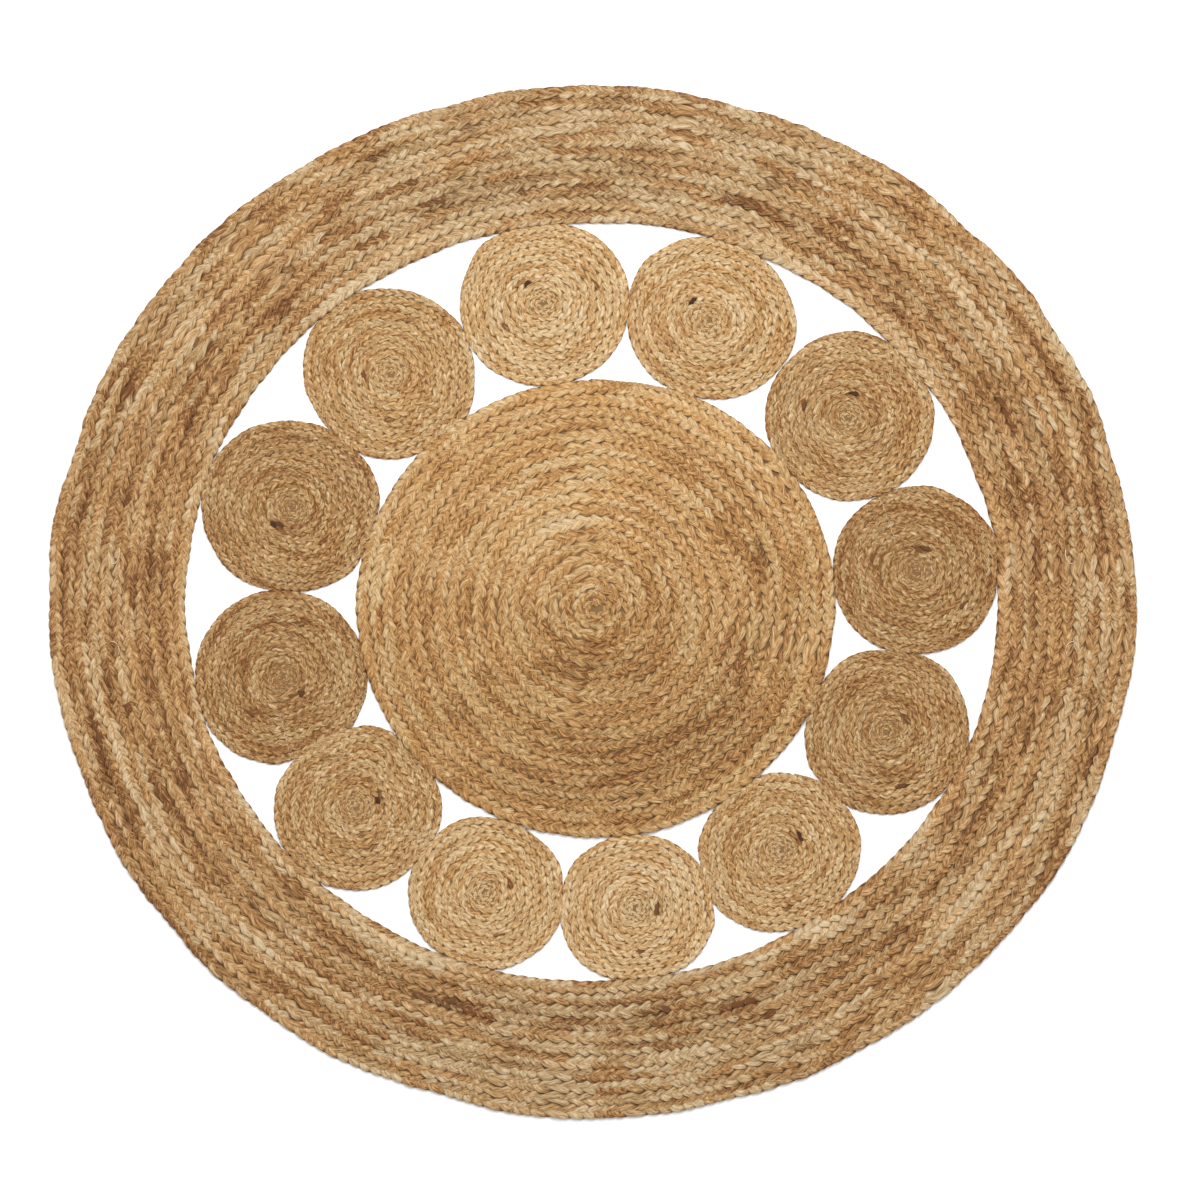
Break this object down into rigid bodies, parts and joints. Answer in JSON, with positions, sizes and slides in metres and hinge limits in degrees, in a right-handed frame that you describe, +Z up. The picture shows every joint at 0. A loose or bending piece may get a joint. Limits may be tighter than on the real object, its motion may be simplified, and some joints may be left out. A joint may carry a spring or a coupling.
{
  "type": "round braided jute rug",
  "caption": "Round braided jute rug with open spaces: a broad outer ring of braid rows, a circle of small coiled discs inside it and one large coiled disc in the middle. Lies flat on a floor.",
  "frame": {"origin": "on the floor, at the centre of the outer ring's outline", "axes": "+Z up from the floor; +X along the wider axis of the slightly oval outline, +Y along its narrower axis, away from the viewer when the rug is seen as in the picture"},
  "size_m": [1.2002, 1.1402, 0.009],
  "materials": {
    "ring_jute": "matte braided jute, tan with reddish and dark brown strands",
    "centre_jute": "matte braided jute, golden tan",
    "small_jute": "matte fine braided jute, pale tan"
  },
  "bodies": {
    "root": {"outer_ring": "ring_jute", "centre_disc": "centre_jute", "small_disc_01": "small_jute", "small_disc_02": "small_jute", "small_disc_03": "small_jute", "small_disc_04": "small_jute", "small_disc_05": "small_jute", "small_disc_06": "small_jute", "small_disc_07": "small_jute", "small_disc_08": "small_jute", "small_disc_09": "small_jute", "small_disc_10": "small_jute", "small_disc_11": "small_jute", "small_disc_12": "small_jute"}
  },
  "joints": []
}
